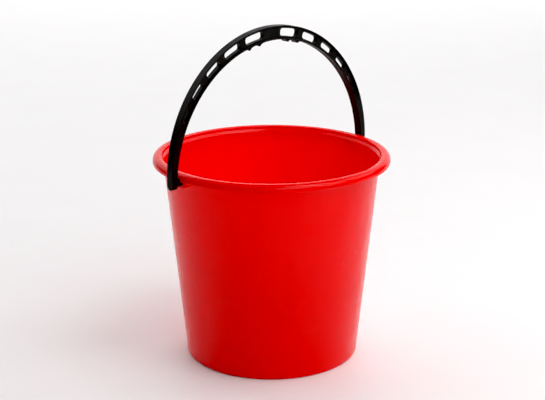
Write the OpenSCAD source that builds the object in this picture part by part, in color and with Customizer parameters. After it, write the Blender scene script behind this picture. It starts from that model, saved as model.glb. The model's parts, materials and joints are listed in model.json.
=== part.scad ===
// Ten-litre household bucket: one moulded tub and one moulded carry handle.
// Origin: centre of the foot ring, on the floor. +Z is up, and the handle pivots about X.

/* [Tub] */
// Height from the floor to the crest of the rim
tub_h = 246; // [220:1:300]
// Outside diameter of the rolled rim
rim_d = 280; // [276:0.5:290]
// Outside diameter of the wall, carried on up to the height of the crest
wall_top_d = 256.8; // [246:0.2:257.4]
// Outside diameter of the wall, carried on down to the floor
wall_base_d = 206; // [180:1:230]
// Thickness of the wall
wall_t = 1.6; // [1.2:0.1:2]
// Thickness of the bottom
base_t = 2; // [1.6:0.1:3]
// Radius of the corner between wall and foot
corner_r = 3.7; // [2.5:0.1:5]

/* [Rim] */
// Inside diameter of the lip
lip_d = 257.8; // [257:0.2:260]
// Radius of the rolled outer edge
bead_r = 6.3; // [5:0.1:7]
// Height of the rolled edge, from its crest to the bottom of the skirt
skirt_h = 9; // [8:0.1:11]
// Thickness of the rolled edge
rim_t = 1.7; // [1.4:0.1:2]
// Depth of the foot of the stacking shoulder, below the crest
shoulder_depth = 7; // [7:0.1:9]
// Height of the stacking shoulder
shoulder_h = 3.5; // [2:0.1:3.5]

/* [Foot] */
// Inside diameter of the foot ring's flat
foot_in_d = 184; // [150:1:186]
// Lift of the bottom panel above the floor
foot_h = 3; // [2:0.1:5]
// Diameter of the moulding gate's stub
gate_d = 8; // [5:0.5:12]

/* [Pivot] */
// Depth of the pivot axis below the crest of the rim
pivot_drop = 9.8; // [9:0.1:14]
// Diameter of the handle's stud
stud_d = 9; // [7:0.1:10]
// Difference in diameter between socket and stud
stud_play = 0.15; // [0.06:0.01:0.18]
// Outside diameter of the socket's boss
boss_d = 16; // [13:0.5:18]
// Distance from the tub's axis to the open end of the socket
socket_mouth = 136.6; // [135:0.1:138]
// Distance from the tub's axis to the closed end of the socket
socket_end = 129.4; // [129:0.1:131]

/* [Handle] */
// Distance between the inner faces of the two legs
span_in = 288; // [286:0.2:292]
// Distance between the outer faces of the two legs
span_out = 302.6; // [299:0.2:306]
// Height of the underside of the crown above the pivot axis
crown_in = 144; // [143:0.1:150]
// Height of the top of the crown above the pivot axis
crown_out = 160; // [158:0.1:166]
// Thickness of the handle across its own plane
handle_w = 10.4; // [9:0.1:12]
// Distance from the pivot axis to the tip of a leg
leg_tail = 7.4; // [6.5:0.1:9]

/* [Slots] */
// Number of slots on each side of the crown
slots = 5; // [1:1:5]
// Length of the first slot
slot_l = 27; // [24:0.5:28]
// Length of each slot as a part of the one before
slot_l_ratio = 0.9; // [0.88:0.01:0.95]
// Width of the bands above and below the first slot
slot_wall = 3.3; // [2.6:0.05:3.4]
// How much wider those bands get from one slot to the next
slot_wall_step = 0.1; // [0:0.05:0.2]
// Length of the solid pad between the two first slots
pad_l = 26; // [24:0.5:30]
// Distance between the middles of the first slot and the next one
pitch_l = 34.6; // [33:0.1:36]
// Each such distance as a part of the one before
pitch_ratio = 0.95; // [0.93:0.01:0.96]
// How far the whole row of slots stands towards one leg
slot_shift = 1.75; // [0:0.05:2.5]

/* [Section] */
// Thickness of the flange along each edge of the handle
flange_t = 1; // [0.8:0.1:1.5]
// Thickness of the web between the flanges
web_t = 6; // [4:0.5:7]

/* [Finger grip] */
// Height of the ridges under the crown
ridge_h = 3; // [1:0.1:3]
// Half-width of a ridge at half its height
ridge_w = 2; // [1.5:0.1:3]
// Distances of the ridges from the middle of the crown
ridge_xs = [21.5, 36.6];

/* [Hidden] */
$fn = 128;

red = [0.84, 0.02, 0.02];
black = [0.08, 0.08, 0.08];
overrun = 20;

// Tub
rim_r = rim_d / 2;
lip_r = lip_d / 2;
pivot_z = tub_h - pivot_drop;
draft = atan((wall_top_d - wall_base_d) / 2 / tub_h);
wall_across = wall_t / cos(draft);
shoulder_z = tub_h - shoulder_depth;
shoulder_top = shoulder_z + shoulder_h;
bead_x = rim_r - bead_r;
land_r = 14;
lip_round = 0.8;
lip_corner_x = lip_r + lip_round;
land_angle = acos((bead_x - lip_corner_x) / (land_r - lip_round));
lip_corner_z = tub_h - land_r + (land_r - lip_round) * sin(land_angle);
riser_r = lip_r + rim_t;
foot_in_r = foot_in_d / 2;
foot_slope = 2;
inner_corner_r = 5;
gate_h = 0.6;
socket_d = stud_d + stud_play;

// Handle
out_spring = 3.1;
in_spring = -4.1;
tip_gap = 0.5;
stud_tip = socket_end + tip_gap;
stud_chamfer = 1;
slot_r = 3.4;
arch_step = 1;
pocket_steps = 60;
pocket_past = 5;

function wall_r(z) = wall_base_d / 2 + z * tan(draft);

// Angle of the shoulder's inner face from upright
shoulder_lean = atan((lip_r - wall_r(shoulder_z) + wall_across) / shoulder_h);

// Points of an arc about (x, z), from angle a0 to angle a1
function arc(x, z, r, a0, a1, n = 5) =
    [for (i = [0:n]) let (a = a0 + (a1 - a0) * i / n) [x + r * cos(a), z + r * sin(a)]];

// Distance from the axis to the centre of a corner of radius r, between the wall line and a
// floor at height z, where side is 0 on the outer face of the wall and 1 on its inner face
function corner_x(r, z, side) =
    wall_r(z) - side * wall_across - r * (1 - sin(draft)) / cos(draft);

// Half section of everything inside the outer surface, with the hollow under the rim left out
module outer_section() {
    bottom_edge = tub_h - skirt_h;
    shoulder_low = shoulder_z - wall_t * tan((shoulder_lean - draft) / 2);
    shoulder_high = shoulder_top - rim_t * tan(shoulder_lean / 2);
    polygon(concat(
        [[0, foot_h], [foot_in_r - foot_slope, foot_h], [foot_in_r, 0]],
        arc(corner_x(corner_r, 0, 0), corner_r, corner_r, -90, -draft),
        [[wall_r(shoulder_low), shoulder_low], [riser_r, shoulder_high]],
        [[riser_r, tub_h - 2 * rim_t]],
        arc(bead_x, tub_h - bead_r, bead_r - rim_t, 90, 0),
        arc(rim_r - rim_t / 2, bottom_edge, rim_t / 2, 180, 360),
        arc(bead_x, tub_h - bead_r, bead_r, 0, 90),
        arc(bead_x, tub_h - land_r, land_r, 90, 180 - land_angle, 4),
        [[0, lip_corner_z]]
    ));
}

// Half section of the space that the tub holds
module cavity_section() {
    floor_z = base_t;
    panel_z = foot_h + base_t;
    panel_r = foot_in_r - foot_slope - base_t / 2;
    inner_x = corner_x(inner_corner_r, floor_z, 1);
    polygon(concat(
        [[0, panel_z], [panel_r, panel_z], [panel_r + foot_slope, floor_z]],
        arc(inner_x, floor_z + inner_corner_r, inner_corner_r, -90, -draft),
        [[wall_r(shoulder_z) - wall_across, shoulder_z], [lip_r, shoulder_top]],
        arc(lip_corner_x, lip_corner_z, lip_round, 180, 180 - land_angle, 2),
        [[lip_corner_x, tub_h + overrun], [0, tub_h + overrun]]
    ));
}

// Cylinder along X, from radius r0 to radius r1 of the tub, on the pivot axis
module pivot_rod(r0, r1, d) {
    translate([r0, 0, pivot_z])
        rotate([0, 90, 0])
            cylinder(d = d, h = r1 - r0);
}

module on_both_sides() {
    children();
    mirror([1, 0, 0])
        children();
}

module gate_stub() {
    translate([0, 0, foot_h - gate_h])
        cylinder(d = gate_d, h = gate_h + base_t / 2);
}

module bucket_tub() {
    color(red)
        difference() {
            union() {
                rotate_extrude()
                    outer_section();
                on_both_sides()
                    pivot_rod(wall_r(pivot_z) - boss_d / 2, socket_mouth, boss_d);
            }
            rotate_extrude()
                cavity_section();
            on_both_sides()
                pivot_rod(socket_end, rim_r + overrun, socket_d);
        }
    color(red)
        gate_stub();
}

// Distance from the pivot axis, at angle a from the crown, to an ellipse that is centred at
// height c and reaches half to each side and top above the pivot axis
function reach(a, half, top, c) =
    let (
        b2 = pow(top - c, 2),
        k = pow(sin(a) / half, 2) + pow(cos(a), 2) / b2,
        m = c * cos(a) / b2
    ) (m + sqrt(m * m - k * (c * c / b2 - 1))) / k;
function outer_reach(a) = reach(a, span_out / 2, crown_out, out_spring);
function inner_reach(a) = reach(a, span_in / 2, crown_in, in_spring);
function middle_reach(a) = (outer_reach(a) + inner_reach(a)) / 2;
function at_angle(a, r) = [r * sin(a), r * cos(a)];

// How far the finger ridges hang below the plain inner edge, at distance x from the crown
function bump(x, i = 0) =
    i == len(ridge_xs) ? 0
    : ridge_h / (1 + pow((abs(x) - ridge_xs[i]) / ridge_w, 2)) + bump(x, i + 1);
function gripped(p) = [p[0], p[1] - bump(p[0])];

module arch() {
    tail = handle_w / 2 - leg_tail;
    grip_step = arch_step / 2;
    polygon(concat(
        [[-span_out / 2, tail]],
        [for (a = [-90:arch_step:90]) at_angle(a, outer_reach(a))],
        [[span_out / 2, tail], [span_in / 2, tail]],
        [for (a = [90:-grip_step:-90]) gripped(at_angle(a, inner_reach(a)))],
        [[-span_in / 2, tail]]
    ));
}

// Length of slot k, the angle of its middle from the crown, and its height there
function slot_length(k) = slot_l * pow(slot_l_ratio, k);
function slot_angle(k) =
    k == 0 ? degrees_along((pad_l + slot_l) / 2, 0)
    : let (a = slot_angle(k - 1), l = pitch_l * pow(pitch_ratio, k - 1))
        a + degrees_along(l, a);
function slot_height(k) =
    let (a = slot_angle(k))
        outer_reach(a) - inner_reach(a) - 2 * (slot_wall + k * slot_wall_step);
function degrees_along(length, a) = length / middle_reach(a) * 180 / PI;

// Point of the arch at a distance s along it from angle a, and n outward from its middle line
function arch_point(a, s, n) =
    let (b = a + degrees_along(s, a)) at_angle(b, middle_reach(b) + n);

// Slot k of the leg on the given side, drawn on the side of +X
module slot(k, side) {
    a = slot_angle(k) - side * degrees_along(slot_shift, 0);
    r = min(slot_r, slot_height(k) / 2);
    x = slot_length(k) / 2 - r;
    z = slot_height(k) / 2 - r;
    outline = concat(
        arc(x, z, r, 0, 90), arc(-x, z, r, 90, 180),
        arc(-x, -z, r, 180, 270), arc(x, -z, r, 270, 360)
    );
    polygon([for (p = outline) arch_point(a, p[0], p[1])]);
}

// Recess between the two flanges, from past the last slot of one side to the other
module pocket() {
    last = slot_angle(slots - 1);
    end = last + degrees_along(slot_length(slots - 1) / 2 + pocket_past, last);
    polygon(concat(
        [for (i = [-pocket_steps:pocket_steps])
            let (a = end * i / pocket_steps) at_angle(a, outer_reach(a) - flange_t)],
        [for (i = [-pocket_steps:pocket_steps])
            let (a = -end * i / pocket_steps) at_angle(a, inner_reach(a) + flange_t)]
    ));
}

module leg_end() {
    translate([span_in / 2, 0, handle_w / 2 - leg_tail])
        rotate([0, 90, 0])
            cylinder(d = handle_w, h = (span_out - span_in) / 2);
}

module stud() {
    root = span_in / 2 + 1;
    translate([stud_tip + stud_chamfer, 0, 0])
        rotate([0, 90, 0])
            cylinder(d = stud_d, h = root - stud_tip - stud_chamfer);
    translate([stud_tip, 0, 0])
        rotate([0, 90, 0])
            cylinder(d1 = stud_d - 2 * stud_chamfer, d2 = stud_d, h = stud_chamfer);
}

module carry_handle() {
    color(black)
        translate([0, 0, pivot_z]) {
            rotate([90, 0, 0])
                difference() {
                    linear_extrude(height = handle_w, center = true)
                        difference() {
                            arch();
                            for (k = [0:slots - 1]) {
                                slot(k, 1);
                                mirror([1, 0])
                                    slot(k, -1);
                            }
                        }
                    for (side = [-1, 1])
                        translate([0, 0, side * (web_t + handle_w) / 2])
                            linear_extrude(height = handle_w, center = true)
                                pocket();
                }
            on_both_sides() {
                leg_end();
                stud();
            }
        }
}

bucket_tub();
carry_handle();
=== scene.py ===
"""Looks of the wash bucket: a glossy red tub and a satin black carry handle, in a white studio.

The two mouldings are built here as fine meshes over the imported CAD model, in its own frame:
metres, +Z up, the foot on the floor, and the handle's pivot along X.
"""

import json
import math
from collections import namedtuple

import bmesh
import bpy
from mathutils import Matrix, Vector


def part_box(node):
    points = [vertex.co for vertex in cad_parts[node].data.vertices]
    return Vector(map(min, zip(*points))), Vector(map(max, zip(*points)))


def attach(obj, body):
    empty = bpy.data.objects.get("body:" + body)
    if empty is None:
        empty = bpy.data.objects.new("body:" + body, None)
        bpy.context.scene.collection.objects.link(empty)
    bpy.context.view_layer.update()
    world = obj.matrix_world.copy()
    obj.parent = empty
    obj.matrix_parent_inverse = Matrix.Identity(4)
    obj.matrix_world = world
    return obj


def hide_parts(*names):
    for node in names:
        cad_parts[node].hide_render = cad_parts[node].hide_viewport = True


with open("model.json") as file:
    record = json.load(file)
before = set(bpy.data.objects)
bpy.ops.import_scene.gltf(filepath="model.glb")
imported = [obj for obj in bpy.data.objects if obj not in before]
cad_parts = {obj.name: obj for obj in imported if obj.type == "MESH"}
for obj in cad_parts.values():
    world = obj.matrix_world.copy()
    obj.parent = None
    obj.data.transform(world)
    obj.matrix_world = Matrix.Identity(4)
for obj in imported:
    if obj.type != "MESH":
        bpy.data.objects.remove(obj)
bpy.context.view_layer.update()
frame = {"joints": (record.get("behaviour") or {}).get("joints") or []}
MM = 0.001

# Driving places, from the frame
tub_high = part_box("bucket_tub")[1]
handle_low, handle_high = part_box("carry_handle")
PIVOT = Vector(frame["joints"][0]["pos_m"])
RIM_R = tub_high.y
RIM_TOP = tub_high.z
SPAN_OUT = handle_high.x
CROWN_OUT = handle_high.z - PIVOT.z
HANDLE_HALF = handle_high.y
LEG_TAIL = PIVOT.z - handle_low.z

# Tub: the wall is a cone, given by its outer radius at the floor and at the crest
WALL_LOW_R = 103.0 * MM
WALL_HIGH_R = 128.4 * MM
WALL_T = 1.6 * MM
FLOOR_T = 2 * MM
RIM_T = 1.7 * MM
BEAD_R = 6.3 * MM
SKIRT_H = 9 * MM
LAND_R = 14 * MM
LIP_R = 128.9 * MM
LIP_ROUND = 0.8 * MM
SHOULDER_Z = RIM_TOP - 7 * MM
SHOULDER_H = 3.5 * MM
FOOT_H = 3 * MM
FOOT_R = 92 * MM
FOOT_SLOPE = 2 * MM
CORNER_R = 3.7 * MM
INNER_CORNER_R = 5 * MM
RING_RS = (35 * MM, 60 * MM)
RING_W = 1.6 * MM
RING_H = 1 * MM
GATE_R = 4 * MM
GATE_H = 0.6 * MM

# Pivot: a boss with a blind socket on each side of the tub, and a stud on each leg
BOSS_R = 8 * MM
BOSS_ROOT = 2.5 * MM
BOSS_SINK = 0.06 * MM
SOCKET_R = 4.575 * MM
SOCKET_MOUTH = 136.6 * MM
SOCKET_END = 129.4 * MM
STUD_R = 4.5 * MM
STUD_TIP = 129.9 * MM
STUD_CHAMFER = 1 * MM
MOUTH_CHAMFER = 0.4 * MM

# Handle: two ellipses in the XZ plane, heights measured from the pivot
SPAN_IN = 144 * MM
CROWN_IN = 144 * MM
OUT_SPRING = 3.1 * MM
IN_SPRING = -4.1 * MM
OUTER_ROUND = 0.6 * MM
INNER_ROUND = 0.4 * MM
SLOT_ROUND = 0.4 * MM
SLOTS = 5
SLOT_L = 27 * MM
SLOT_RATIO = 0.9
SLOT_WALL = 3.3 * MM
SLOT_WALL_STEP = 0.1 * MM
SLOT_SHIFT = 1.75 * MM
SLOT_R = 3.4 * MM
SLOT_R_SHARE = 0.43
FLANGE_T = 1 * MM
WEB_HALF = 3 * MM
POCKET_ROUND = 0.3 * MM
POCKET_FOOT = 0.6 * MM
POCKET_FADE = 20 * MM
CELL_END = 1.2 * MM
PAD_L = 26 * MM
PITCH_L = 34.6 * MM
PITCH_RATIO = 0.95
RIDGE_H = 3 * MM
RIDGE_W = 2 * MM
RIDGE_XS = (21.5 * MM, 36.6 * MM)

# Mesh density: round the tub and its pivots, across the handle, and along its stretches
TUB_SEGMENTS = 288
BOSS_SEGMENTS = 96
SOCKET_SEGMENTS = 64
STUD_SEGMENTS = 72
LONGEST_STEP = 9 * MM
ACROSS = 10
PAD_STEPS = 16
FIRST_SLOT_STEPS = 72
SLOT_STEPS = 44
FADE_STEPS = 20
LEG_STEPS = 36
TIP_STEPS = 24

# Points closer than the first are joined, and edges shorter than the second are taken out
SAME_PLACE = 1e-6
TINY_EDGE = 2e-6

# Edges sharper than these angles stay sharp, in degrees
TUB_SHARP = 32
HANDLE_SHARP = 38

# Camera: it stands to the left of the front, above the rim, and looks a little down
CAMERA_AZIMUTH = -41.6
CAMERA_DISTANCE = 1.560
CAMERA_HEIGHT = 0.667
CAMERA_PITCH = 17.1
CAMERA_ROLL = 0.1
CAMERA_SIDE = 0.001
CAMERA_LENS = 90.5

# Base colours: each material runs from the first of its pair to the second
REDS = ((0.92, 0.0010, 0.0013), (0.96, 0.0018, 0.0023))
BLACKS = ((0.008, 0.008, 0.0075), (0.014, 0.0138, 0.013))
WHITES = ((0.885, 0.868, 0.874), (0.915, 0.902, 0.908))

# Light: the world, the lift of the picture's darkest tones, and the soft boxes. A soft box has a
# name, an azimuth and an elevation in degrees, a distance, a width, a height and a power.
WORLD_LIGHT = 0.04
BLACK_LEVEL = 0.014
AIM_HEIGHT = 0.1
BACKDROP = ("backdrop", 180, 24, 3.6, 6.0, 3.0, 57)
BACK_FILL = ("back fill", 180, 24, 3.6, 6.0, 3.0, 140)
SOFT_BOXES = (
    ("far left", -110, 40, 2.2, 1.8, 1.8, 11),
    ("front", 20, 35, 2.0, 1.0, 1.0, 8),
    ("near right", 60, 35, 2.0, 1.0, 1.0, 7),
    ("high right", 60, 65, 2.0, 1.0, 1.0, 12),
    ("far right", 108, 42, 2.0, 1.0, 1.0, 7.5),
)
FLOOR_RADII = (0, 0.3, 0.8, 2, 4, 8)
FLOOR_SEGMENTS = 96


# Outlines

def arc(x, z, r, start, end, steps):
    """Points of an arc about (x, z), from angle start to angle end in degrees."""
    angles = [math.radians(start + (end - start) * i / steps) for i in range(steps + 1)]
    return [Vector((x + r * math.cos(a), z + r * math.sin(a))) for a in angles]


def filleted(corners, sharpest=9):
    """Outline through the corners (x, z, radius), each rounded to its radius."""
    points = []
    for i, (x, z, radius) in enumerate(corners):
        here = Vector((x, z))
        if not radius:
            points.append(here)
            continue
        back = (Vector(corners[i - 1][:2]) - here).normalized()
        onward = (Vector(corners[i + 1][:2]) - here).normalized()
        half = back.angle(onward) / 2
        centre = here + (back + onward).normalized() * radius / math.sin(half)
        first = here + back * radius / math.tan(half) - centre
        last = here + onward * radius / math.tan(half) - centre
        start = math.degrees(math.atan2(first.y, first.x))
        turn = (math.degrees(math.atan2(last.y, last.x)) - start + 180) % 360 - 180
        steps = max(3, math.ceil(abs(turn) / sharpest))
        points += arc(centre.x, centre.y, radius, start, start + turn, steps)
    return points


def divided(points, longest):
    """The same outline with no step longer than that."""
    made = [points[0]]
    for a, b in zip(points, points[1:]):
        parts = math.ceil((b - a).length / longest)
        made += [a.lerp(b, i / parts) for i in range(1, parts + 1)]
    return made


# Meshes

def new_piece(name, bm):
    bmesh.ops.remove_doubles(bm, verts=bm.verts, dist=SAME_PLACE)
    bmesh.ops.recalc_face_normals(bm, faces=bm.faces)
    mesh = bpy.data.meshes.new(name)
    bm.to_mesh(mesh)
    bm.free()
    piece = bpy.data.objects.new(name, mesh)
    bpy.context.scene.collection.objects.link(piece)
    return piece


def add_grid(bm, rows):
    """Quads over rows of points; a row may be closed by repeating its first point."""
    made = [[bm.verts.new(p) for p in row] for row in rows]
    for low, high in zip(made, made[1:]):
        for i in range(len(low) - 1):
            bm.faces.new((low[i], low[i + 1], high[i + 1], high[i]))


def round_angles(segments):
    """Angles all the way round, with the first one again at the end."""
    return [2 * math.pi * (i % segments) / segments for i in range(segments + 1)]


def lathe(name, outline, segments, turn=Matrix.Identity(4)):
    """Solid of revolution about Z of an outline that starts and ends on the axis."""
    bm = bmesh.new()
    angles = round_angles(segments)
    rows = [[turn @ Vector((p.x * math.cos(a), p.x * math.sin(a), p.y)) for a in angles]
            for p in outline]
    add_grid(bm, rows)
    return new_piece(name, bm)


def combine(base, tool, operation):
    """Boolean of two solids, applied to the base's mesh."""
    modifier = base.modifiers.new("combine", "BOOLEAN")
    modifier.operation = operation
    modifier.solver = "MANIFOLD"
    modifier.object = tool
    shape = base.evaluated_get(bpy.context.evaluated_depsgraph_get())
    mesh = bpy.data.meshes.new_from_object(shape)
    base.modifiers.clear()
    old = base.data
    base.data = mesh
    mesh.name = base.name
    bpy.data.meshes.remove(old)
    bpy.data.objects.remove(tool)


def finish_shading(piece, angle):
    """Smooth shading that keeps edges sharper than the angle, and flat faces flat."""
    bm = bmesh.new()
    bm.from_mesh(piece.data)
    bmesh.ops.dissolve_degenerate(bm, edges=bm.edges, dist=TINY_EDGE)
    bm.to_mesh(piece.data)
    bm.free()
    piece.data.shade_smooth()
    piece.data.set_sharp_from_angle(angle=math.radians(angle))
    weighted = piece.modifiers.new("weighted normals", "WEIGHTED_NORMAL")
    weighted.keep_sharp = True
    weighted.weight = 60


# Tub

def wall_r(z):
    return WALL_LOW_R + (WALL_HIGH_R - WALL_LOW_R) * z / RIM_TOP


def tub_outline():
    """From the middle of the underside, round the outside and the rim, to the middle inside."""
    riser_r = LIP_R + RIM_T
    bead_x = RIM_R - BEAD_R
    lip_x = LIP_R + LIP_ROUND
    lip_angle = math.degrees(math.acos((bead_x - lip_x) / (LAND_R - LIP_ROUND)))
    lip_z = RIM_TOP - LAND_R + (LAND_R - LIP_ROUND) * math.sin(math.radians(lip_angle))
    draft = (WALL_HIGH_R - WALL_LOW_R) / RIM_TOP
    across = WALL_T * math.hypot(1, draft)
    shoulder_top = SHOULDER_Z + SHOULDER_H
    lean = math.atan((LIP_R - wall_r(SHOULDER_Z) + across) / SHOULDER_H)
    shoulder_low = SHOULDER_Z - WALL_T * math.tan((lean - math.atan(draft)) / 2)
    shoulder_high = shoulder_top - RIM_T * math.tan(lean / 2)
    panel_z = FOOT_H + FLOOR_T
    skirt_round = 0.48 * RIM_T
    under = [
        (0, FOOT_H - GATE_H, 0),
        (GATE_R, FOOT_H - GATE_H, 0.2 * MM),
        (GATE_R, FOOT_H, 0.2 * MM),
    ]
    for r in RING_RS:
        under += [(r, FOOT_H, 0.3 * MM), (r, FOOT_H - RING_H, 0.4 * MM),
                  (r + RING_W, FOOT_H - RING_H, 0.4 * MM), (r + RING_W, FOOT_H, 0.3 * MM)]
    outside = [
        (FOOT_R - FOOT_SLOPE, FOOT_H, 1.5 * MM),
        (FOOT_R, 0, 0.5 * MM),
        (WALL_LOW_R, 0, CORNER_R),
        (wall_r(shoulder_low), shoulder_low, 3.5 * MM),
        (riser_r, shoulder_high, 0.6 * MM),
        (riser_r, RIM_TOP - RIM_T, 1.5 * MM),
        (RIM_R - RIM_T, RIM_TOP - RIM_T, BEAD_R - RIM_T),
        (RIM_R - RIM_T, RIM_TOP - SKIRT_H, skirt_round),
        (RIM_R, RIM_TOP - SKIRT_H, skirt_round),
        (RIM_R, RIM_TOP, BEAD_R),
        (bead_x, RIM_TOP, 0),
    ]
    land = arc(bead_x, RIM_TOP - LAND_R, LAND_R, 90, 180 - lip_angle, 6)[1:]
    lip = arc(lip_x, lip_z, LIP_ROUND, 180 - lip_angle, 180, 8)[1:]
    inside = [
        (LIP_R, lip_z, 0),
        (LIP_R, shoulder_top, 1.6 * MM),
        (wall_r(SHOULDER_Z) - across, SHOULDER_Z, 2.5 * MM),
        (wall_r(FLOOR_T) - across, FLOOR_T, INNER_CORNER_R),
        (FOOT_R - FLOOR_T / 2, FLOOR_T, 1.2 * MM),
        (FOOT_R - FOOT_SLOPE - FLOOR_T / 2, panel_z, 1.2 * MM),
        (0, panel_z, 0),
    ]
    points = filleted(under + outside) + land + lip + filleted(inside)[1:]
    return divided(points, LONGEST_STEP)


def skin_r(z):
    """Radius of the outer face that a boss stands on: the wall, then the riser above it."""
    share = min(max((z - SHOULDER_Z) / SHOULDER_H, 0), 1)
    return wall_r(min(z, SHOULDER_Z)) * (1 - share) + (LIP_R + RIM_T) * share


def add_boss(side):
    """A round boss whose root spreads along the wall in a fillet, which ends within the wall."""
    angles = round_angles(BOSS_SEGMENTS)
    sunk = WALL_T / 2
    rings = [(0, -sunk), (BOSS_R + BOSS_ROOT, -sunk)]
    for p in arc(BOSS_R + BOSS_ROOT, BOSS_ROOT, BOSS_ROOT, 262, 180, 9):
        rings.append((p.x, p.y - BOSS_SINK))
    mouth = filleted([(BOSS_R, 0, 0), (BOSS_R, SOCKET_MOUTH, 0.5 * MM), (0, SOCKET_MOUTH, 0)])
    highest = RIM_TOP - 0.75 * RIM_T
    rows = []
    for radius, height in rings:
        row = []
        for a in angles:
            y = radius * math.cos(a)
            z = min(PIVOT.z + radius * math.sin(a), highest)
            x = math.sqrt(skin_r(z) ** 2 - y ** 2) + height
            row.append(Vector((side * x, y, z)))
        rows.append(row)
    for p in mouth[1:]:
        rows.append([Vector((side * p.y, p.x * math.cos(a), PIVOT.z + p.x * math.sin(a)))
                     for a in angles])
    bm = bmesh.new()
    add_grid(bm, rows)
    return new_piece("boss", bm)


def along_x(side):
    """Turns a solid made about Z to lie about the pivot axis, on the given side."""
    return Matrix.Translation((0, 0, PIVOT.z)) @ Matrix.Rotation(side * math.pi / 2, 4, "Y")


def add_tub():
    """The turned tub, with a boss on each side and a socket in each boss."""
    tub = lathe("tub", tub_outline(), TUB_SEGMENTS)
    wide = SOCKET_R + MOUTH_CHAMFER
    far = RIM_R + 10 * MM
    socket = filleted([(0, SOCKET_END, 0), (SOCKET_R, SOCKET_END, 0.3 * MM),
                       (SOCKET_R, SOCKET_MOUTH - MOUTH_CHAMFER, 0.2 * MM),
                       (wide, SOCKET_MOUTH, 0), (wide, far, 0), (0, far, 0)])
    for side in (-1, 1):
        combine(tub, add_boss(side), "UNION")
    for side in (-1, 1):
        combine(tub, lathe("socket", socket, SOCKET_SEGMENTS, along_x(side)), "DIFFERENCE")
    finish_shading(tub, TUB_SHARP)
    return tub


# Handle. A place on it is an angle from the crown, and a point of its XZ section plane. A section
# holds rows of points: round both edges, down both flanges into the recess, and across the web.
Section = namedtuple("Section", "outer inner outer_lip inner_lip web")


def reach(angle, half, top, spring):
    """Distance from the pivot axis to an ellipse, in the direction of the angle."""
    b2 = (top - spring) ** 2
    k = (math.sin(angle) / half) ** 2 + math.cos(angle) ** 2 / b2
    m = spring * math.cos(angle) / b2
    return (m + math.sqrt(m * m - k * (spring ** 2 / b2 - 1))) / k


def outer_reach(angle):
    return reach(angle, SPAN_OUT, CROWN_OUT, OUT_SPRING)


def inner_reach(angle):
    return reach(angle, SPAN_IN, CROWN_IN, IN_SPRING)


def middle_reach(angle):
    return (outer_reach(angle) + inner_reach(angle)) / 2


def at_angle(angle, r):
    return Vector((r * math.sin(angle), r * math.cos(angle)))


def outer_edge(angle):
    return at_angle(angle, outer_reach(angle))


def inner_edge(angle):
    """The inner edge, with the finger ridges hanging below it."""
    p = at_angle(angle, inner_reach(angle))
    p.y -= sum(RIDGE_H / (1 + ((abs(p.x) - x) / RIDGE_W) ** 2) for x in RIDGE_XS)
    return p


def edge_normal(edge, angle):
    """Direction out of the arch on its outer edge, and out of the opening on its inner one."""
    step = math.radians(0.02)
    along = edge(angle + step) - edge(angle - step)
    return Vector((-along.y, along.x)).normalized()


def rounded_edge(p, normal, radius, steps=6):
    """Points from the front face round an edge to the back face, where normal points out."""
    front = []
    for i in range(steps + 1):
        a = math.pi / 2 * i / steps
        q = p - normal * radius * (1 - math.sin(a))
        front.append(Vector((q.x, HANDLE_HALF - radius * (1 - math.cos(a)), q.y)))
    middle = Vector((p.x, 0, p.y))
    back = [Vector((q.x, -q.y, q.z)) for q in reversed(front)]
    return front + [middle] + back


def face_row(outer, inner):
    """Points on the web's front face from its outer border to its inner one."""
    return [outer.lerp(inner, i / ACROSS) for i in range(ACROSS + 1)]


def mirrored(rows):
    return [[Vector((p.x, -p.y, p.z)) for p in row] for row in rows]


def pocket_lip(edge, wall, into, depth):
    """Points on the front from a flange's rounded edge into the recess and to its floor."""
    fall = (HANDLE_HALF - WEB_HALF) * depth
    points = [edge]
    lip_steps, foot_steps = 3, 4
    for i in range(lip_steps + 1):
        a = math.pi / 2 * i / lip_steps
        q = wall - into * POCKET_ROUND * (1 - math.sin(a))
        points.append(Vector((q.x, HANDLE_HALF - POCKET_ROUND * (1 - math.cos(a)) * depth, q.y)))
    for i in range(foot_steps + 1):
        a = math.pi / 2 * i / foot_steps
        q = wall + into * POCKET_FOOT * (1 - math.cos(a))
        y = HANDLE_HALF - fall + POCKET_FOOT * (1 - math.sin(a)) * depth
        points.append(Vector((q.x, y, q.y)))
    return points


def section(outer, out, inner, under, inner_wall, into, depth):
    """Rounded outer and inner edges, the two flanges' front faces, and the web's face."""
    outer_round = rounded_edge(outer, out, OUTER_ROUND)
    inner_round = rounded_edge(inner, under, INNER_ROUND)
    outer_lip = pocket_lip(outer_round[0], outer - out * FLANGE_T, -out, depth)
    inner_lip = pocket_lip(inner_round[0], inner_wall, into, depth)
    web = face_row(outer_lip[-1], inner_lip[-1])
    return Section(outer_round, inner_round, outer_lip, inner_lip, web)


def inner_line(angle):
    return at_angle(angle, inner_reach(angle))


def section_at(angle, depth=1.0):
    """The section of the arch at an angle, with its recess at a share of its full depth."""
    into = edge_normal(inner_line, angle)
    return section(outer_edge(angle), edge_normal(outer_edge, angle),
                   inner_edge(angle), -edge_normal(inner_edge, angle),
                   inner_line(angle) + into * FLANGE_T, into, depth)


def join_sections(bm, sections, with_web=True):
    """The arch's skin between sections, on both faces."""
    add_grid(bm, [s.outer for s in sections])
    add_grid(bm, [s.inner for s in sections])
    for name in ("outer_lip", "inner_lip", "web") if with_web else ("outer_lip", "inner_lip"):
        rows = [getattr(s, name) for s in sections]
        add_grid(bm, rows)
        add_grid(bm, mirrored(rows))


def add_plain_stretch(bm, start, end, steps, first=1.0, last=1.0):
    """A stretch without slots, whose recess goes from one depth to the other."""
    sections = []
    for i in range(steps + 1):
        t = i / steps
        ease = t * t * (3 - 2 * t)
        sections.append(section_at(start + (end - start) * t, first + (last - first) * ease))
    join_sections(bm, sections)


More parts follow.
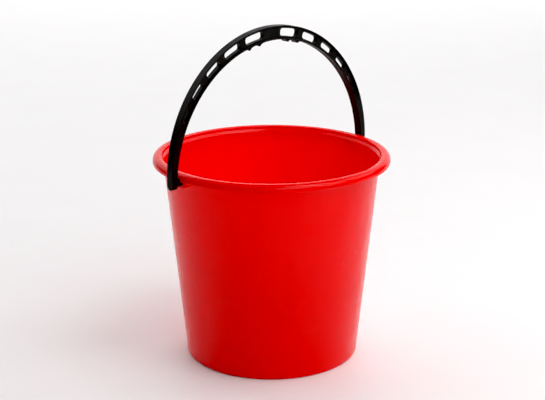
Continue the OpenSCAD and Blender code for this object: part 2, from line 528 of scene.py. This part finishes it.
def slot_loop(length, height, grow, along):
    """Outline of a slot in its own flat plane, grown by grow, with points that match the
    border of its cell: along points on each long side and ACROSS on each short one."""
    r = min(SLOT_R, SLOT_R_SHARE * height)
    bend = 4
    x, z = length / 2 - r, height / 2 - r
    corners = []
    for cx, cz, start in ((x, z, 90), (x, -z, 0), (-x, -z, -90), (-x, z, -180)):
        corners.append(arc(cx, cz, r + grow, start, start - 90, 2 * bend))
    made = []
    for i, corner in enumerate(corners):
        after = corners[(i + 1) % 4]
        count = (ACROSS if i % 2 == 0 else along) - 2 * bend
        straight = [corner[-1].lerp(after[0], k / count) for k in range(1, count)]
        made += corner + straight
    return made[bend:] + made[:bend]


def add_slot_cell(bm, middle, length, height, start, end, sign, along):
    """The stretch of the arch around one slot."""
    sections = [section_at(sign * (start + (end - start) * i / along)) for i in range(along + 1)]
    join_sections(bm, sections, with_web=False)

    def place(p, y):
        angle = middle + p.x / middle_reach(middle)
        q = at_angle(angle, middle_reach(angle) + p.y)
        return Vector((sign * q.x, y, q.y))

    # Border of the cell on the web, from its far outer corner round by the inner edge
    first, last = sections[0].web, sections[-1].web
    border = last[:-1] + [s.web[-1] for s in reversed(sections)][:-1]
    border += list(reversed(first))[:-1] + [s.web[0] for s in sections][:-1]
    steps = 6
    rims = []
    for i in range(steps + 1):
        a = math.pi / 2 * i / steps
        loop = slot_loop(length, height, SLOT_ROUND * (1 - math.sin(a)), along)
        rims.append([place(p, WEB_HALF - SLOT_ROUND * (1 - math.cos(a))) for p in loop])
    rims = [row + row[:1] for row in rims]
    border += border[:1]
    rings = 3
    face = [[a.lerp(b, i / rings) for a, b in zip(border, rims[0])] for i in range(rings + 1)]
    wall = 4
    bore = [[a.lerp(b, i / wall) for a, b in zip(rims[-1], mirrored(rims)[-1])]
            for i in range(wall + 1)]
    for rows in (face, mirrored(face), rims, mirrored(rims), bore):
        add_grid(bm, rows)


def add_leg_end(bm, side):
    """The straight end of a leg and its round tip, from the pivot's height down."""
    tail = HANDLE_HALF - LEG_TAIL
    outer_at, inner_at = SPAN_OUT * side, SPAN_IN * side
    away = Vector((side, 0))
    top = section_at(side * math.pi / 2, 0)
    low = section(Vector((outer_at, tail)), away, Vector((inner_at, tail)), -away,
                  Vector((inner_at + side * FLANGE_T, tail)), away, 0)
    join_sections(bm, [top, low])
    half = len(low.outer) // 2
    front = low.outer[half::-1] + low.outer_lip[1:] + low.web[1:]
    front += low.inner_lip[-2:0:-1] + low.inner[:half + 1]
    rows = []
    for i in range(TIP_STEPS + 1):
        a = math.pi * i / TIP_STEPS
        rows.append([Vector((p.x, p.y * math.cos(a), p.z - p.y * math.sin(a))) for p in front])
    add_grid(bm, rows)


def slot_row():
    """Angle from the crown, length and height of each slot of a row that isn't shifted."""
    slots = []
    middle = (PAD_L + SLOT_L) / 2 / middle_reach(0)
    for k in range(SLOTS):
        height = outer_reach(middle) - inner_reach(middle) - 2 * (SLOT_WALL + k * SLOT_WALL_STEP)
        slots.append((middle, SLOT_L * SLOT_RATIO ** k, height))
        middle += PITCH_L * PITCH_RATIO ** k / middle_reach(middle)
    return slots


def add_handle():
    """The arch, from the pad at the crown down each side to the leg's end, and its studs."""
    bm = bmesh.new()
    slots = slot_row()
    shift = SLOT_SHIFT / middle_reach(0)
    gap = slots[0][0] - (slots[0][1] / 2 + CELL_END) / middle_reach(0)
    add_plain_stretch(bm, -gap - shift, gap - shift, PAD_STEPS)
    for side in (-1, 1):
        start = gap - side * shift
        for k, (middle, length, height) in enumerate(slots):
            middle -= side * shift
            if k < SLOTS - 1:
                end = (middle + slots[k + 1][0] - side * shift) / 2
            else:
                end = middle + (length / 2 + CELL_END) / middle_reach(middle)
            along = FIRST_SLOT_STEPS if k == 0 else SLOT_STEPS
            add_slot_cell(bm, middle, length, height, start, end, side, along)
            start = end
        stop = start + POCKET_FADE / middle_reach(start)
        add_plain_stretch(bm, side * start, side * stop, FADE_STEPS, 1.0, 0.0)
        add_plain_stretch(bm, side * stop, side * math.pi / 2, LEG_STEPS, 0.0, 0.0)
        add_leg_end(bm, side)
    bmesh.ops.translate(bm, verts=bm.verts, vec=(0, 0, PIVOT.z))
    handle = new_piece("handle", bm)
    root = SPAN_IN + 2 * MM
    stud = filleted([(0, STUD_TIP, 0), (STUD_R - STUD_CHAMFER, STUD_TIP, 0.3 * MM),
                     (STUD_R, STUD_TIP + STUD_CHAMFER, 0.4 * MM), (STUD_R, root, 0), (0, root, 0)])
    for side in (-1, 1):
        combine(handle, lathe("stud", stud, STUD_SEGMENTS, along_x(side)), "UNION")
    finish_shading(handle, HANDLE_SHARP)
    return handle


# Materials

class Nodes:
    """Short calls for building a node tree."""

    def __init__(self, name):
        self.material = bpy.data.materials.new(name)
        self.material.use_nodes = True
        self.tree = self.material.node_tree
        self.shader = self.tree.nodes["Principled BSDF"]
        self.place = self.tree.nodes.new("ShaderNodeTexCoord").outputs["Object"]

    def link(self, source, target):
        self.tree.links.new(source, target)

    def stretched(self, scale):
        node = self.tree.nodes.new("ShaderNodeMapping")
        node.inputs["Scale"].default_value = scale
        self.link(self.place, node.inputs["Vector"])
        return node.outputs["Vector"]

    def noise(self, scale, detail=3.0, rough=0.5, place=None):
        node = self.tree.nodes.new("ShaderNodeTexNoise")
        node.inputs["Scale"].default_value = scale
        node.inputs["Detail"].default_value = detail
        node.inputs["Roughness"].default_value = rough
        self.link(place or self.place, node.inputs["Vector"])
        return node.outputs["Fac"]

    def ramp(self, source, low, high, to_low=0.0, to_high=1.0):
        node = self.tree.nodes.new("ShaderNodeMapRange")
        node.inputs["From Min"].default_value = low
        node.inputs["From Max"].default_value = high
        node.inputs["To Min"].default_value = to_low
        node.inputs["To Max"].default_value = to_high
        self.link(source, node.inputs["Value"])
        return node.outputs["Result"]

    def math(self, operation, a, b):
        node = self.tree.nodes.new("ShaderNodeMath")
        node.operation = operation
        for socket, value in zip(node.inputs, (a, b)):
            if isinstance(value, (int, float)):
                socket.default_value = value
            else:
                self.link(value, socket)
        return node.outputs["Value"]

    def mix(self, fac, a, b):
        """Between colours a and b."""
        node = self.tree.nodes.new("ShaderNodeMix")
        node.data_type = "RGBA"
        self.link(fac, node.inputs["Factor"])
        for socket, colour in zip(node.inputs[6:8], (a, b)):
            socket.default_value = (*colour, 1)
        return node.outputs[2]

    def height(self):
        node = self.tree.nodes.new("ShaderNodeSeparateXYZ")
        self.link(self.place, node.inputs["Vector"])
        return node.outputs["Z"]

    def bump(self, source, distance, strength=1.0, over=None):
        node = self.tree.nodes.new("ShaderNodeBump")
        node.inputs["Strength"].default_value = strength
        node.inputs["Distance"].default_value = distance
        self.link(source, node.inputs["Height"])
        if over:
            self.link(over, node.inputs["Normal"])
        return node.outputs["Normal"]

    def hairlines(self, scale, width, spread):
        """Thin scratches: the edges of stretched cells, broken up by a noise."""
        node = self.tree.nodes.new("ShaderNodeTexVoronoi")
        node.feature = "DISTANCE_TO_EDGE"
        node.inputs["Scale"].default_value = 1.0
        self.link(self.stretched(scale), node.inputs["Vector"])
        line = self.ramp(node.outputs["Distance"], 0.0, width, 1.0, 0.0)
        return self.math("MULTIPLY", line, self.ramp(self.noise(45, 2), spread, spread + 0.06))

    def set(self, **values):
        for name, value in values.items():
            self.shader.inputs[name.replace("_", " ")].default_value = value


def tub_material():
    """Glossy red polypropylene: faint flow marks, a soft orange peel, scuffs at foot and rim."""
    n = Nodes("tub_gloss")
    tone = n.math("ADD", n.ramp(n.noise(7, 2), 0.3, 0.7, 0, 0.6),
                  n.ramp(n.noise(1, 3, 0.6, n.stretched((70, 70, 5))), 0.35, 0.65, 0, 0.4))
    n.link(n.mix(tone, *REDS), n.shader.inputs["Base Color"])
    scuff = n.math("MULTIPLY", n.ramp(n.noise(160, 4, 0.6), 0.48, 0.62),
                   n.math("MAXIMUM", n.ramp(n.height(), 0.0, 0.006, 1, 0),
                          n.ramp(n.height(), RIM_TOP - 0.002, RIM_TOP, 0, 0.5)))
    lines = n.hairlines((90, 35, 55), 0.012, 0.52)
    gloss = n.ramp(n.noise(24, 4, 0.6), 0.3, 0.7, 0.15, 0.22)
    rough = n.math("ADD", gloss, n.math("ADD", n.math("MULTIPLY", scuff, 0.25),
                                        n.math("MULTIPLY", lines, 0.12)))
    n.link(rough, n.shader.inputs["Roughness"])
    peel = n.bump(n.noise(320, 2), 0.00002, 0.5)
    flow = n.bump(n.noise(1, 2, 0.5, n.stretched((40, 40, 4))), 0.0003, 0.25, peel)
    cut = n.bump(lines, 0.00002, -0.4, flow)
    n.link(cut, n.shader.inputs["Normal"])
    n.set(IOR=1.49, Specular_IOR_Level=0.2, Subsurface_Weight=0.9, Subsurface_Scale=0.005,
          Subsurface_Radius=(1.0, 0.03, 0.03))
    return n.material


def handle_material():
    """Black polypropylene with a fine spark-eroded grain, worn smoother under the crown."""
    n = Nodes("handle_satin")
    worn = n.math("MULTIPLY", n.ramp(n.height(), PIVOT.z + 0.1, PIVOT.z + 0.15),
                  n.ramp(n.noise(60, 3), 0.45, 0.65))
    tone = n.math("ADD", n.ramp(n.noise(35, 4, 0.6), 0.35, 0.65, 0, 0.5),
                  n.math("MULTIPLY", worn, 0.5))
    n.link(n.mix(tone, *BLACKS), n.shader.inputs["Base Color"])
    rough = n.math("SUBTRACT", n.ramp(n.noise(140, 3), 0.3, 0.7, 0.40, 0.50),
                   n.math("MULTIPLY", worn, 0.08))
    n.link(rough, n.shader.inputs["Roughness"])
    grain = n.bump(n.noise(1900, 2, 0.6), 0.00003, 0.5)
    n.link(n.bump(n.noise(90, 2), 0.0001, 0.15, grain), n.shader.inputs["Normal"])
    n.set(IOR=1.49, Specular_IOR_Level=0.16)
    return n.material


def floor_material():
    """White laminate with a faint mottle."""
    n = Nodes("floor_white")
    n.link(n.mix(n.noise(9, 3), *WHITES), n.shader.inputs["Base Color"])
    n.set(Roughness=0.45, Specular_IOR_Level=0.3)
    return n.material


# Studio

def add_camera():
    data = bpy.data.cameras.new("camera")
    data.lens = CAMERA_LENS
    data.sensor_width = 36.0
    data.clip_end = 50.0
    camera = bpy.data.objects.new("camera", data)
    turn = Matrix.Rotation(math.radians(CAMERA_AZIMUTH), 4, "Z")
    place = Matrix.Translation((CAMERA_SIDE, -CAMERA_DISTANCE, CAMERA_HEIGHT))
    tilt = Matrix.Rotation(math.radians(90 - CAMERA_PITCH), 4, "X")
    roll = Matrix.Rotation(math.radians(-CAMERA_ROLL), 4, "Z")
    camera.matrix_world = turn @ place @ tilt @ roll
    bpy.context.scene.collection.objects.link(camera)
    bpy.context.scene.camera = camera


def add_floor():
    """A large flat disc on the floor, in rings so that it stays round at its edge."""
    rows = [[Vector((r * math.cos(a), r * math.sin(a), 0)) for a in round_angles(FLOOR_SEGMENTS)]
            for r in FLOOR_RADII]
    bm = bmesh.new()
    add_grid(bm, rows)
    floor = new_piece("floor", bm)
    floor.data.materials.append(floor_material())
    if floor.data.polygons[0].normal.z < 0:
        floor.data.flip_normals()


def add_light(name, azimuth, elevation, distance, width, height, power, in_gloss=True):
    """A soft box aimed at the bucket. Azimuth 0 is the camera's side, and 90 is to its right.
    One that isn't in gloss lights the surfaces, but they don't reflect it."""
    data = bpy.data.lights.new(name, "AREA")
    data.shape = "RECTANGLE"
    data.size, data.size_y = width, height
    data.energy = power
    light = bpy.data.objects.new(name, data)
    light.visible_glossy = in_gloss
    turn = math.radians(CAMERA_AZIMUTH + azimuth)
    flat = distance * math.cos(math.radians(elevation))
    place = Vector((flat * math.sin(turn), -flat * math.cos(turn),
                    distance * math.sin(math.radians(elevation))))
    facing = (Vector((0, 0, AIM_HEIGHT)) - place).to_track_quat("-Z", "Y")
    light.matrix_world = Matrix.Translation(place) @ facing.to_matrix().to_4x4()
    bpy.context.scene.collection.objects.link(light)


def add_studio():
    world = bpy.data.worlds.new("studio")
    world.use_nodes = True
    background = world.node_tree.nodes["Background"]
    background.inputs["Color"].default_value = (1.0, 1.0, 1.0, 1)
    background.inputs["Strength"].default_value = WORLD_LIGHT
    bpy.context.scene.world = world
    view = bpy.context.scene.view_settings
    view.view_transform = "Standard"
    view.use_curve_mapping = True
    view.curve_mapping.black_level = (BLACK_LEVEL,) * 3
    view.curve_mapping.update()
    add_light(*BACKDROP)
    add_light(*BACK_FILL, in_gloss=False)
    for soft_box in SOFT_BOXES:
        add_light(*soft_box)


def main():
    add_camera()
    add_floor()
    add_studio()
    for piece, node, body, slot, material in (
        (add_tub(), "bucket_tub", "tub", "tub_plastic", tub_material()),
        (add_handle(), "carry_handle", "handle", "handle_plastic", handle_material()),
    ):
        piece.data.materials.clear()
        piece.data.materials.append(material)
        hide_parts(node)
        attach(piece, body)


main()
